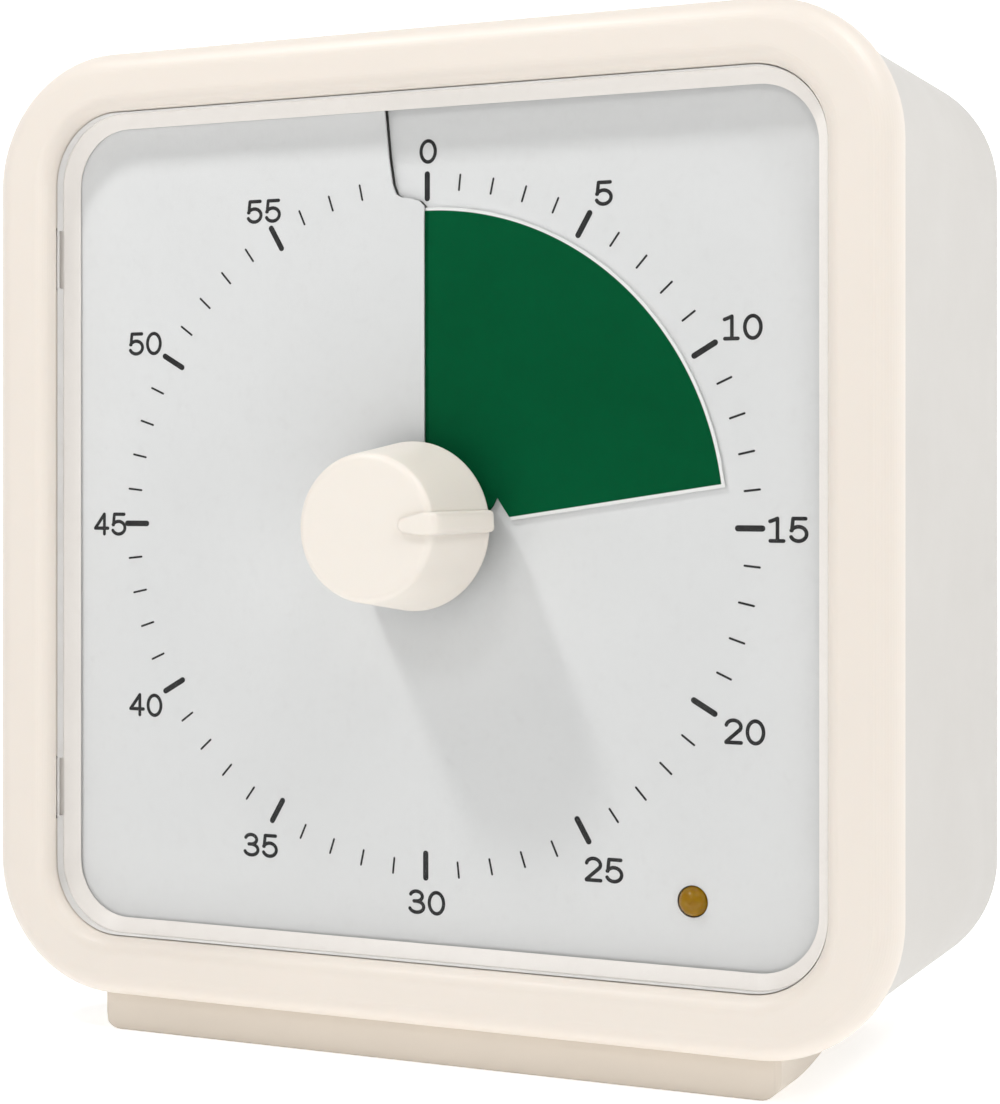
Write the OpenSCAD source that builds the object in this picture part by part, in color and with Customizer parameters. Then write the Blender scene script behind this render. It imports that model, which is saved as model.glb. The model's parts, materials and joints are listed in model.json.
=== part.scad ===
// Square sixty-minute visual timer that stands on a kitchen counter.
// A coloured disc is wound out from behind the dial through a cut in the dial
// card, and a battery movement winds it back to zero.
// The model stands on Z = 0, faces -Y, and its knob turns about the Y axis.
// Most parts are drawn in face coordinates: x right, y up and z towards the
// reader, measured from the middle of the dial.

/* [Body] */
// Width and height of the front bezel
body_w = 100; // [100:1:103]
// Corner radius of the bezel
body_r = 14; // [13.5:0.1:14.5]
// Distance from the dial back to the rear wall's outer face
case_back = 41.6; // [41:0.2:45]
// Thickness of the case walls
case_wall = 2; // [1.8:0.1:2.2]
// How far the foot lifts the bezel off the counter
foot_h = 4; // [3:0.2:6]

/* [Dial] */
// Time that the disc shows, in minutes
set_minutes = 13.7; // [6:0.1:54]
// Radius of the coloured disc
disc_r = 32.2; // [29:0.2:32.2]
// Axial rise of the card and the disc in one turn
sheet_pitch = 0.7; // [0.7:0.05:0.85]
// Thickness of the dial card
card_t = 0.22; // [0.16:0.02:0.24]
// Thickness of the coloured disc
disc_t = 0.18; // [0.14:0.02:0.2]

/* [Knob] */
// Radius of the knob at its base
knob_r = 8.5; // [8:0.1:9]
// Radius of the knob at its front
knob_front_r = 7.2; // [6.8:0.1:7.6]
// Distance from the dial to the knob's front face
knob_front = 13.5; // [11.6:0.1:13.6]
// Thickness of the pointer fin at its outer end
fin_t = 2.2; // [1.8:0.05:2.4]

/* [Hidden] */
$fn = 64;

// Shared colours
cream = [0.95, 0.92, 0.87];
cream_rear = [0.88, 0.86, 0.83];
beige = [0.85, 0.80, 0.72];
steel = [0.62, 0.63, 0.65];
gear_white = [0.93, 0.92, 0.88];

// Frame: the dial's middle in world coordinates
fin_rise = 0.4;
fin_lead = 4;
fin_start = 3.8;
fin_proud = 0.5;
y_dial = (knob_front + fin_rise - case_back) / 2;
axis_h = body_w / 2 + foot_h;

// Body outlines, as half widths measured from the dial's axis
body_h = body_w / 2;
corner_c = body_h - body_r;
case_inset = 1;
case_h = body_h - case_inset;
case_r = body_r - case_inset;
bezel_front = 4.6;
seam_z = 1.6;
bezel_fillet = 2.6;
case_fillet = 2.2;
rear_wall = 2.4;
rear_in = -case_back + rear_wall;

// Window: lip of the bezel, lens and slanted surround
lip_x = 43;
lip_y = 43.8;
lip_r = 7.6;
lip_cx = lip_x - lip_r;
lip_cy = lip_y - lip_r;
lip_round = 1.7;
lens_z = 1.7;
lens_t = 1.1;
lens_gap = 0.12;
lens_hole_r = 4;
tab_y = 28.4;
tab_l = 6.2;
tab_out = 0.9;
tab_t = 0.7;
band_r = 6;
band_z = sheet_pitch / 2 + card_t / 2 + 0.02;
skirt_r = 8.5;
skirt_t = 0.7;
chassis_front = -1.9;
chassis_t = 1.5;
chassis_back = chassis_front - chassis_t;

// Helicoid sheets
turn_rows = 72;
lead_angle = 6 * set_minutes;
edge_turn = -0.6;
edge_offset = 0.78;
hub_r = 6.35;
card_hole_r = hub_r + 0.55;
card_r = 8.3;
cut_gap = 0.1;
// Path of the card's cut beyond the disc: radius and angle clockwise from twelve
cut_path = [
    [32.32, 0], [32.9, -1], [33.2, -2.6], [33.4, -4.3],
    [33.8, -5.4], [34.9, -5.9], [37.7, -6.1]
];
edge_angle = -6;

// Alarm lamp, a standard three millimetre light
lamp_x = 28.6;
lamp_y = -35.95;
lamp_r = 1.5;
lamp_top = 1;

// Shafts and fits
fit = 0.04;
shaft_r = 2;
flat_cut = 1.5;
pivot_r = 0.5;
arbor_r = 0.85;

// Movement box
move_x0 = -24;
move_x1 = 27;
move_y0 = -15;
move_y1 = 31;
move_front = -3.8;
move_plate = 1.6;
move_wall = 1.5;
move_split = -15.6;
move_back = -17;
move_screw_x = [-21, 24];
move_screw_y = [-12, 28];

// Gear train: modules, teeth and arbor positions
mod_1 = 0.4;
mod_2 = 0.35;
mod_3 = 0.3;
centre_teeth = 60;
third_teeth = 60;
second_teeth = 50;
pinion_teeth = 10;
third_dir = 135;
second_dir = 60;
rotor_dir = 0;
third_dist = mod_1 * (centre_teeth + pinion_teeth) / 2;
second_dist = mod_2 * (third_teeth + pinion_teeth) / 2;
rotor_dist = mod_3 * (second_teeth + pinion_teeth) / 2;
third_at = third_dist * [cos(third_dir), sin(third_dir)];
second_at = third_at + second_dist * [cos(second_dir), sin(second_dir)];
rotor_at = second_at + rotor_dist * [cos(rotor_dir), sin(rotor_dir)];
third_phase = mesh_phase(third_dir, 0, centre_teeth, pinion_teeth);
second_phase = mesh_phase(second_dir, 0, third_teeth, pinion_teeth);
rotor_phase = mesh_phase(rotor_dir, 0, second_teeth, pinion_teeth);
wheel_top = -6.8;
wheel_t = 1;
magnet_r = 2.5;

// Coil and stator
coil_x = 20.5;
coil_y0 = 5;
coil_y1 = 22;
coil_z = -10;
core_w = 2.4;
core_t = 0.8;

// Battery, a standard AA cell, and its bay
cell_r = 7.1;
cell_l = 49.5;
cell_y = -30;
cell_z = -30;
bay_hx = 29.2;
bay_hy = 8.6;
bay_front = -21.9;
bay_wall = 1.6;
door_margin = 2.2;
door_t = 1.6;
door_gap = 0.2;

// Screws
well_at = 39;
well_r = 3.1;
well_end = -9;
well_floor = 2;
case_screw_r = 1.2;
move_screw_r = 1.1;
board_screw_r = 0.85;
board_screw_at = [[-11, -32], [20, -32]];
foot_screw_r = 1.3;
foot_screw_x = 20;
foot_screw_z = -17;

// Circuit board
board_front = -4.4;
board_t = 1.2;
board_x0 = -14;
board_x1 = 33;
board_y0 = -43;
board_y1 = -29;

// Buzzer and volume switch, behind the rear wall
buzzer_x = 25;
buzzer_y = 22;
buzzer_r = 10;
switch_x = -25;
switch_y = 22;
switch_travel = 2;
slider_w = 4.2;
slider_h = 3.6;

// Foot
foot_front = 1.4;
foot_back = -36;
foot_half = 37.8;
foot_taper = 6.2;
foot_corner = 2;

// ---- Helpers ---------------------------------------------------------------

// Turns face coordinates into the upright model
module face() {
    translate([0, y_dial, axis_h]) rotate([90, 0, 0]) children();
}

// Points of an arc about c, from angle a0 to a1
function arc(c, r, a0, a1, n = 8) =
    [for (i = [0:n]) c + r * [cos(a0 + (a1 - a0) * i / n), sin(a0 + (a1 - a0) * i / n)]];

// Rounded rectangle with half sizes hx and hy and corner radius r
module rounded(hx, hy, r) {
    polygon(concat(
        arc([hx - r, hy - r], r, 0, 90, 16), arc([r - hx, hy - r], r, 90, 180, 16),
        arc([r - hx, r - hy], r, 180, 270, 16), arc([hx - r, r - hy], r, 270, 360, 16)
    ));
}

// Sweeps a profile round a rounded rectangle whose corner centres are at cx, cy.
// The profile's x is the distance out from the corner centres, its y is z.
module around(cx, cy) {
    for (i = [0:3]) {
        sx = (i == 0 || i == 3) ? 1 : -1;
        sy = i < 2 ? 1 : -1;
        translate([sx * cx, sy * cy, 0]) rotate([0, 0, 90 * i])
            rotate_extrude(angle = 90) children();
    }
    for (a = [0, 180]) {
        rotate([0, 0, a]) translate([cx, 0, 0])
            rotate([90, 0, 0]) linear_extrude(2 * cy, center = true) children();
        rotate([0, 0, a + 90]) translate([cy, 0, 0])
            rotate([90, 0, 0]) linear_extrude(2 * cx, center = true) children();
    }
}

// Box from one corner to the opposite one
module box(a, b) {
    translate(a) cube(b - a);
}

// Upright cylinder between two heights
module post(x, y, r, z0, z1) {
    translate([x, y, z0]) cylinder(h = z1 - z0, r = r);
}

// Screw with a domed, slotted head below z and a shank above it
module screw(x, y, z, r, l, head_r, head_h) {
    difference() {
        union() {
            post(x, y, r, z - 0.1, z + l);
            translate([x, y, z - head_h]) cylinder(h = head_h, r1 = head_r * 0.8, r2 = head_r);
        }
        for (a = [0, 90])
            translate([x, y, z - head_h]) rotate([0, 0, a])
                cube([head_r * 1.1, head_r * 0.3, head_h], center = true);
    }
}

// Angle of an external gear that meshes with another one at phase a, in
// direction dir, when the first has n teeth and the second has m
function mesh_phase(dir, a, n, m) = dir + 180 + (dir - a) * n / m + 180 / m;

// Involute of a base circle: polar angle at radius r
function involute(rb, r) = tan(acos(rb / r)) * 180 / PI - acos(rb / r);

// One tooth of a gear, centred on angle a, as points from root to root
function tooth(m, n, a) =
    let (
        rp = m * n / 2,
        rb = rp * cos(25),
        root = rp - 1.15 * m,
        start = max(rb + 0.001, root),
        tip = rp + 0.8 * m,
        half = 90 / n * 0.84 + involute(rb, rp),
        flank = [for (i = [0:2]) start + (tip - start) * i / 2],
        low = half - involute(rb, start)
    )
    concat(
        [root * [cos(a - low), sin(a - low)]],
        [for (r = flank) r * [cos(a - half + involute(rb, r)), sin(a - half + involute(rb, r))]],
        [for (i = [2:-1:0]) flank[i] * [
            cos(a + half - involute(rb, flank[i])), sin(a + half - involute(rb, flank[i]))
        ]],
        [root * [cos(a + low), sin(a + low)]]
    );

// Spur gear of n teeth, with one tooth centred on angle phase
module gear(m, n, t, phase) {
    linear_extrude(t) polygon([for (k = [0:n - 1]) each tooth(m, n, phase + 360 * k / n)]);
}

// Height of the dial card's middle surface at angle t clockwise from twelve
function card_z(t) = -sheet_pitch / 2 + sheet_pitch * t / 360;

// Distance from the axis to a rounded rectangle, in direction t
function edge_r(t, hx, hy, r) =
    let (
        dx = max(abs(sin(t)), 1e-6),
        dy = max(abs(cos(t)), 1e-6),
        cx = hx - r,
        cy = hy - r,
        dc = dx * cx + dy * cy
    )
    hx / dx * dy <= cy ? hx / dx
        : hy / dy * dx <= cx ? hy / dy
        : dc + sqrt(dc * dc - cx * cx - cy * cy + r * r);

// Closed solid on a grid of points: rows of n points each, front and back
module sheet(front, back) {
    rows = len(front);
    n = len(front[0]);
    size = rows * n;
    points = concat([for (row = front) each row], [for (row = back) each row]);
    front_faces = [for (i = [0:rows - 2], j = [0:n - 2])
        let (a = i * n + j) each [[a, a + 1, a + n + 1], [a, a + n + 1, a + n]]];
    back_faces = [for (f = front_faces) [f[0] + size, f[2] + size, f[1] + size]];
    rim = concat(
        [for (j = [0:n - 1]) j],
        [for (i = [1:rows - 1]) i * n + n - 1],
        [for (j = [n - 2:-1:0]) (rows - 1) * n + j],
        [for (i = [rows - 2:-1:1]) i * n]
    );
    m = len(rim);
    rim_faces = [for (k = [0:m - 1])
        let (a = rim[k], b = rim[(k + 1) % m]) each [[a, a + size, b + size], [a, b + size, b]]];
    polyhedron(points, concat(front_faces, back_faces, rim_faces));
}

// Point at radius r and angle t clockwise from twelve
function polar(r, t, z) = [r * sin(t), r * cos(t), z];

// Closed round tube along a list of points, its ends square to the run
module tube(path, r, sides) {
    n = len(path);
    function dir(i) =
        let (d = path[min(i + 1, n - 1)] - path[max(i - 1, 0)]) d / norm(d);
    function across(d) =
        let (s = cross(abs(d.x) < 0.9 ? [1, 0, 0] : [0, 0, 1], d)) s / norm(s);
    points = [for (i = [0:n - 1], k = [0:sides - 1])
        let (d = dir(i), u = across(d), v = cross(d, u), a = 360 * k / sides)
        path[i] + r * (cos(a) * u + sin(a) * v)];
    walls = [for (i = [0:n - 2], k = [0:sides - 1])
        let (a = i * sides + k, b = i * sides + (k + 1) % sides)
        each [[a, a + sides, b + sides], [a, b + sides, b]]];
    first = [for (k = [0:sides - 1]) k];
    last = [for (k = [sides - 1:-1:0]) (n - 1) * sides + k];
    polyhedron(points, concat(walls, [first, last]));
}

// ---- Housing ---------------------------------------------------------------

// Front frame: rounded rim, window opening, lens pockets and a snap-in spigot
module front_bezel() {
    spigot_r = case_r - case_wall - 0.3;
    color(cream) face() difference() {
        union() {
            around(corner_c, corner_c) polygon(concat(
                [[4, seam_z], [body_r - 0.3, seam_z], [body_r, seam_z + 0.3]],
                arc([body_r - bezel_fillet, bezel_front - bezel_fillet], bezel_fillet, 0, 90, 14),
                [[4, bezel_front]]
            ));
            around(corner_c, corner_c) polygon([
                [spigot_r - 1, seam_z + 0.2], [spigot_r - 1, -3.2], [spigot_r - 0.3, -3.2],
                [spigot_r, -2.8], [spigot_r, seam_z + 0.2]
            ]);
            for (a = [0:90:270], y = [-24, 24])
                rotate([0, 0, a]) translate([corner_c + spigot_r, y, -1.6])
                    cube([0.9, 8, 0.9], center = true);
        }
        box([-lip_cx, -lip_cy, -5], [lip_cx, lip_cy, bezel_front + 1]);
        around(lip_cx, lip_cy) polygon(concat(
            [[0, -5], [lip_r, -5]],
            arc([lip_r + lip_round, bezel_front - lip_round], lip_round, 180, 90, 10),
            [[lip_r + lip_round, bezel_front + 1], [0, bezel_front + 1]]
        ));
        around(corner_c, corner_c) polygon([
            [4, -5], [spigot_r - 1, -5], [spigot_r - 1, lens_z], [4, lens_z]
        ]);
        for (s = [-1, 1], y = [-tab_y, tab_y])
            translate([s * (lip_x + 0.6), y, lens_z + 0.5])
                cube([1.5, tab_l + 0.5, 1.3], center = true);
    }
}

// Rear shell: walls, rear wall, battery bay, screw wells, grille and switch slot
module rear_case() {
    grille = concat([[0, 0]], [for (k = [1:2], i = [0:6 * k - 1])
        3.2 * k * [cos(60 * i / k), sin(60 * i / k)]]);
    door_x = bay_hx + door_margin;
    door_y = bay_hy + door_margin;
    color(cream_rear) face() difference() {
        union() {
            around(corner_c, corner_c) polygon(concat(
                [[0, -case_back]],
                arc([case_r - case_fillet, case_fillet - case_back], case_fillet, 270, 360),
                [
                    [case_r, seam_z], [case_r - case_wall, seam_z],
                    [case_r - case_wall, rear_in], [0, rear_in]
                ]
            ));
            box([-corner_c, -corner_c, -case_back], [corner_c, corner_c, rear_in]);
            box(
                [-bay_hx - bay_wall, cell_y - bay_hy - bay_wall, rear_in - 1],
                [bay_hx + bay_wall, cell_y + bay_hy + bay_wall, bay_front + bay_wall]
            );
            box(
                [-door_x - 1.4, cell_y - door_y - 0.6, rear_in - 1],
                [door_x + 1.4, cell_y + door_y + 1.4, rear_in + 1.2]
            );
            for (x = [-well_at, well_at], y = [-well_at, well_at])
                post(x, y, well_r + 1.3, rear_in - 1, well_end);
            post(buzzer_x, buzzer_y, buzzer_r + 1.5, rear_in - 1, rear_in + 3);
            for (x = [-foot_screw_x, foot_screw_x])
                translate([x, 1 - case_h, foot_screw_z]) rotate([-90, 0, 0])
                    cylinder(h = 5, r = 3.2);
        }
        box(
            [-bay_hx, cell_y - bay_hy, -case_back - 1],
            [bay_hx, cell_y + bay_hy, bay_front]
        );
        box(
            [-door_x, cell_y - door_y, -case_back - 1],
            [door_x, cell_y + door_y, -case_back + door_t + 0.1]
        );
        for (x = [-well_at, well_at], y = [-well_at, well_at]) {
            post(x, y, well_r, -case_back - 1, well_end - well_floor);
            post(x, y, case_screw_r + 0.4, well_end - well_floor - 1, well_end + 1);
        }
        post(buzzer_x, buzzer_y, buzzer_r + 0.3, rear_in, rear_in + 4);
        for (p = grille)
            post(buzzer_x + p.x, buzzer_y + p.y, 0.9, -case_back - 1, rear_in + 1);
        box(
            [switch_x - 9, switch_y - 4.5, -case_back - 1],
            [switch_x + 9, switch_y + 4.5, -case_back + 1]
        );
        box(
            [switch_x - slider_w / 2 - switch_travel - 0.4, switch_y - slider_h / 2 - 0.3, -case_back],
            [switch_x + slider_w / 2 + switch_travel + 0.4, switch_y + slider_h / 2 + 0.3, rear_in + 1]
        );
        for (a = [0:90:270], y = [-24, 24])
            rotate([0, 0, a]) translate([case_h - case_wall, y, -1.6])
                cube([1.4, 8.4, 1.3], center = true);
        for (x = [-foot_screw_x, foot_screw_x])
            translate([x, -case_h - 1, foot_screw_z]) rotate([-90, 0, 0])
                cylinder(h = 8, r = foot_screw_r + 0.05);
    }
}

// Foot: tapers towards the back, with soft lower corners and screw recesses
module foot() {
    depth = foot_front - foot_back;
    half_back = foot_half - depth * tan(foot_taper);
    low = -axis_h;
    top = -case_h - 0.02;
    color(beige) face() difference() {
        intersection() {
            translate([0, 0, foot_back]) linear_extrude(depth) polygon(concat(
                arc([foot_corner - foot_half, low + foot_corner], foot_corner, 180, 270),
                arc([foot_half - foot_corner, low + foot_corner], foot_corner, 270, 360),
                [[foot_half, top], [-foot_half, top]]
            ));
            translate([0, low - 1, 0]) rotate([-90, 0, 0]) linear_extrude(axis_h) polygon([
                [-foot_half, -foot_front + 0.5], [-foot_half + 0.5, -foot_front],
                [foot_half - 0.5, -foot_front], [foot_half, -foot_front + 0.5],
                [half_back, -foot_back - 1], [half_back - 1, -foot_back],
                [1 - half_back, -foot_back], [-half_back, -foot_back - 1]
            ]);
        }
        for (x = [-foot_screw_x, foot_screw_x])
            translate([x, low - 1, foot_screw_z]) rotate([-90, 0, 0]) {
                cylinder(h = 3.2, r = 3);
                cylinder(h = 9, r = foot_screw_r + 0.2);
            }
    }
}

// Clear window with four snap tabs and a hole for the knob's stem
module lens() {
    color([0.9, 0.95, 1, 0.25]) face() difference() {
        union() {
            translate([0, 0, lens_z]) linear_extrude(lens_t)
                rounded(lip_x - lens_gap, lip_y - lens_gap, lip_r - lens_gap);
            for (s = [-1, 1], y = [-tab_y, tab_y])
                translate([s * (lip_x - 1), y - tab_l / 2, lens_z])
                    mirror([s < 0 ? 1 : 0, 0, 0]) cube([1 + tab_out, tab_l, tab_t]);
        }
        post(0, 0, lens_hole_r, lens_z - 1, lens_z + lens_t + 1);
    }
}

// Slanted frame behind the lens, with a skirt that stands on the chassis
module dial_surround() {
    color([0.93, 0.88, 0.84]) face() around(lip_cx, lip_cy) polygon([
        [band_r, band_z], [band_r, band_z + 0.12], [lip_r - 0.25, lens_z - 0.02],
        [skirt_r + skirt_t, lens_z - 0.02], [skirt_r + skirt_t, chassis_front],
        [skirt_r, chassis_front], [skirt_r, band_z]
    ]);
}

// ---- Dial and disc ---------------------------------------------------------

// Dial card: one turn of a very flat helicoid, open along the cut
module dial_card() {
    hx = lip_cx + card_r;
    hy = lip_cy + card_r;
    starts = concat([[card_hole_r, 0]], cut_path);
    inner = len(starts);
    function angle(i, j) =
        (j < inner ? starts[j][1] : edge_angle) + (360 - cut_gap) * i / turn_rows;
    function radius(i, j) = j < inner ? starts[j][0] : edge_r(angle(i, j), hx, hy, card_r);
    function grid(dz) = [for (i = [0:turn_rows]) [for (j = [inner:-1:0])
        polar(radius(i, j), angle(i, j), card_z(angle(i, j)) + dz)]];
    color([0.86, 0.86, 0.87]) face() difference() {
        sheet(grid(card_t / 2), grid(-card_t / 2));
        post(lamp_x, lamp_y, lamp_r + 0.06, -3, 3);
    }
}

// Ramp ring that carries the card's edge on the chassis
module dial_spacer() {
    start = 2;
    sweep = 349;
    r0 = 33.2;
    r1 = 36;
    function grid(top) = [for (i = [0:turn_rows]) let (t = start + sweep * i / turn_rows)
        [for (r = [r1, r0]) polar(r, t, top ? card_z(t) - card_t / 2 - 0.02 : chassis_front)]];
    color([0.8, 0.8, 0.8]) face() sheet(grid(true), grid(false));
}

// Inner plate: carries the movement, the board, the surround and the screws
module chassis() {
    half = case_h - case_wall - 1.5;
    color([0.75, 0.75, 0.74]) face() difference() {
        union() {
            translate([0, 0, chassis_back]) linear_extrude(chassis_t)
                rounded(half, half, case_r - case_wall - 1.5);
            for (x = [-well_at, well_at], y = [-well_at, well_at])
                post(x, y, 3.2, well_end + 0.05, chassis_back + 0.1);
            for (x = move_screw_x, y = move_screw_y)
                post(x, y, 2.6, move_front, chassis_back + 0.1);
            for (p = board_screw_at)
                post(p.x, p.y, 2.2, board_front, chassis_back + 0.1);
        }
        post(0, 0, hub_r + 0.6, chassis_back - 1, chassis_front + 1);
        post(lamp_x, lamp_y, lamp_r + 0.3, chassis_back - 1, chassis_front + 1);
        for (x = [-well_at, well_at], y = [-well_at, well_at])
            post(x, y, case_screw_r + 0.05, well_end - 1, chassis_back + 0.6);
        for (x = move_screw_x, y = move_screw_y)
            post(x, y, move_screw_r + 0.05, move_front - 1, chassis_front + 1);
        for (p = board_screw_at)
            post(p.x, p.y, board_screw_r + 0.05, board_front - 1, chassis_front + 1);
    }
}

// D-shaped bore or shaft outline
module d_outline(r, cut) {
    intersection() {
        circle(r);
        translate([-2 * r, -2 * r]) square([4 * r, 2 * r + cut]);
    }
}

// Outline of the pointer fin along the axis: round inner end, wider outer end
module fin_outline(end) {
    half = fin_t / 2;
    narrow = 0.35 * fin_t;
    soft = 0.5;
    polygon(concat(
        arc([0, fin_start + narrow], narrow, 180, 360, 8),
        arc([half - soft, end - soft], soft, 0, 90, 4),
        arc([soft - half, end - soft], soft, 90, 180, 4)
    ));
}

// Pointer fin: a bar across the knob's front that rounds over and runs down its flank
module fin(z0, z1) {
    slab = 0.02;
    over = 1.2;
    hull() {
        translate([0, 0, z0]) linear_extrude(slab) fin_outline(knob_r + fin_proud);
        for (a = [0:30:90])
            translate([0, 0, z1 - over + (over - slab) * sin(a)]) linear_extrude(slab)
                fin_outline(knob_front_r + 1.5 * fin_proud - over * (1 - cos(a)));
    }
}

// Knob: tapered hollow cylinder with a radial pointer fin and a D-bore stem
module knob() {
    base = 3.1;
    soft = 0.8;
    skin = 1.4;
    stem_r = 3.5;
    stem_end = 1.8;
    slope = (knob_r - knob_front_r) / (knob_front - base);
    fin_z = knob_front + fin_rise;
    color(cream) face() rotate([0, 0, -lead_angle]) difference() {
        union() {
            rotate_extrude() polygon(concat(
                [[0, base + 1], [stem_r + 1, base + 1], [stem_r + 1, base], [knob_r, base]],
                arc([knob_front_r + slope * soft - soft, knob_front - soft], soft, 5, 90),
                [[0, knob_front]]
            ));
            post(0, 0, stem_r, stem_end, base + 2);
            rotate([0, 0, -fin_lead]) fin(base, fin_z);
        }
        rotate_extrude() polygon([
            [stem_r + 0.8, base - 1], [knob_r - skin, base - 1],
            [knob_front_r - skin + 0.2, knob_front - skin], [stem_r + 0.8, knob_front - skin]
        ]);
        translate([0, 0, stem_end - 1]) linear_extrude(10.6 - stem_end)
            d_outline(shaft_r + 0.03, flat_cut + 0.03);
    }
}

// Stepped spindle: D-shaped front end, wheel collar and rear pivot
module spindle() {
    color(steel) face() rotate([0, 0, -lead_angle]) difference() {
        rotate_extrude() polygon([
            [0, 9.5], [1.7, 9.5], [shaft_r, 9.2], [shaft_r, -6.1], [3.2, -6.1],
            [3.2, wheel_top], [1.7, wheel_top], [1.7, -9.2], [1.3, -9.2],
            [1.3, move_split + 0.3], [0.9, move_split + 0.3], [0.9, -16.8], [0, -16.8]
        ]);
        box([-3, flat_cut, -1.8], [3, 3, 10]);
    }
}

// Hub that slides on the spindle's flat and carries the disc
module disc_hub() {
    color(gear_white) face() rotate([0, 0, -lead_angle]) difference() {
        rotate_extrude() polygon([
            [1, 0.45], [4.6, 0.45], [4.6, 0.2], [hub_r, 0.2], [hub_r, -1.25], [1, -1.25]
        ]);
        translate([0, 0, -2]) linear_extrude(4) d_outline(shaft_r + 0.03, flat_cut + 0.03);
    }
}

// Coloured disc: one turn of the card's helicoid, threaded through its cut. Its
// leading edge runs a little to one side of the axis.
module timer_disc() {
    function skew(r) = edge_turn + asin(edge_offset / r);
    function grid(dz) = [for (i = [0:turn_rows]) [for (r = [disc_r, hub_r + 0.03])
        let (t = lead_angle - 360 + 360 * i / turn_rows + skew(r))
        polar(r, t, sheet_pitch * t / 360 + dz)]];
    notch = [polar(8.5, -12.4, 0), polar(8.75, -6.2, 0), polar(9.1, -1.2, 0), polar(9.5, 3.3, 0),
        polar(9.6, 12, 0), polar(7, 12, 0), polar(7, -2, 0), polar(7.9, -8, 0)];
    color([0.03, 0.35, 0.2]) face() difference() {
        sheet(grid(disc_t / 2), grid(-disc_t / 2));
        rotate([0, 0, -lead_angle]) translate([0, 0, sheet_pitch * lead_angle / 360 - 0.4])
            linear_extrude(0.8) polygon([for (p = notch) [p.x, p.y]]);
    }
}

// ---- Movement --------------------------------------------------------------

// Front half of the movement case: bearing plate and walls
module movement_front_case() {
    x_mid = (move_x0 + move_x1) / 2;
    y_mid = (move_y0 + move_y1) / 2;
    hx = (move_x1 - move_x0) / 2;
    hy = (move_y1 - move_y0) / 2;
    plate_back = move_front - move_plate;
    color([0.88, 0.88, 0.86]) face() difference() {
        union() {
            difference() {
                translate([x_mid, y_mid, move_split]) linear_extrude(move_front - move_split)
                    rounded(hx, hy, 3);
                translate([x_mid, y_mid, move_split - 1])
                    linear_extrude(plate_back - move_split + 1)
                        rounded(hx - move_wall, hy - move_wall, 1.5);
            }
            for (x = move_screw_x, y = move_screw_y)
                post(x, y, 2.6, move_split, plate_back + 0.1);
            post(0, 0, 3.4, plate_back - 0.5, plate_back + 0.1);
        }
        post(0, 0, shaft_r + fit, -8, 0);
        for (p = [third_at, second_at, rotor_at])
            post(p.x, p.y, pivot_r + fit, -8, 0);
        for (x = move_screw_x, y = move_screw_y)
            post(x, y, move_screw_r + 0.15, -20, 0);
    }
}

// Rear plate of the movement, with the back bearings
module movement_back_case() {
    x_mid = (move_x0 + move_x1) / 2;
    y_mid = (move_y0 + move_y1) / 2;
    color([0.88, 0.88, 0.86]) face() difference() {
        translate([x_mid, y_mid, move_back]) linear_extrude(move_split - move_back)
            rounded((move_x1 - move_x0) / 2, (move_y1 - move_y0) / 2, 3);
        post(0, 0, 0.9 + fit, -20, 0);
        for (p = [third_at, second_at, rotor_at])
            post(p.x, p.y, pivot_r + fit, -20, 0);
        for (x = move_screw_x, y = move_screw_y)
            post(x, y, move_screw_r + 0.15, -20, 0);
    }
}

// Centre wheel, held on the spindle by friction
module centre_wheel() {
    color([0.92, 0.78, 0.3]) face() translate([0, 0, wheel_top - wheel_t]) difference() {
        gear(mod_1, centre_teeth, wheel_t, 0);
        post(0, 0, 1.75, -1, 3);
        for (a = [30:60:330])
            rotate([0, 0, a]) post(7.4, 0, 2.1, -1, 3);
    }
}

// Dished washer that presses the centre wheel against the spindle's collar
module clutch_spring() {
    color(steel) face() translate([0, 0, wheel_top - wheel_t - 0.45]) difference() {
        cylinder(h = 0.43, r1 = 2.6, r2 = 4.4);
        post(0, 0, 1.75, -1, 2);
        translate([0, 0, -0.18]) cylinder(h = 0.43, r1 = 2.6, r2 = 4.4);
    }
}

// Split clip that holds the washer
module clutch_clip() {
    color(steel) face() translate([0, 0, wheel_top - wheel_t - 0.95]) linear_extrude(0.4)
        difference() {
            circle(3.2);
            circle(1.75);
            translate([-0.9, 0]) square([1.8, 4]);
        }
}

// Arbor with a pinion, and pivots in both plates
module arbor(at, m, phase, pinion_z, pinion_t) {
    top = move_front - move_plate - 0.25;
    low = move_split + 0.25;
    post(at.x, at.y, arbor_r, low, top);
    post(at.x, at.y, pivot_r, move_back + 0.2, move_front - 0.3);
    translate([at.x, at.y, pinion_z]) gear(m, pinion_teeth, pinion_t, phase);
}

// Wheel plate with lightening holes
module wheel(at, m, n, z, t, ring_r, hole_r) {
    translate([at.x, at.y, z]) difference() {
        gear(m, n, t, 0);
        for (a = [0:60:300])
            rotate([0, 0, a]) post(ring_r, 0, hole_r, -1, t + 1);
    }
}

// Third wheel: its pinion meshes with the centre wheel
module third_wheel() {
    color(gear_white) face() {
        arbor(third_at, mod_1, third_phase, -8.1, 1.6);
        wheel(third_at, mod_2, third_teeth, -10.3, 0.8, 6.4, 2);
    }
}

// Second wheel: its pinion meshes with the third wheel
module second_wheel() {
    color(gear_white) face() {
        arbor(second_at, mod_2, second_phase, -10.6, 1.4);
        wheel(second_at, mod_3, second_teeth, -12.6, 0.7, 4.6, 1.5);
    }
}

// Stepping rotor: magnet and drive pinion
module rotor() {
    color([0.35, 0.35, 0.38]) face() {
        arbor(rotor_at, mod_3, rotor_phase, -12.9, 1.3);
        post(rotor_at.x, rotor_at.y, magnet_r, coil_z - 1.2, coil_z + 1.2);
    }
}

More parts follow.
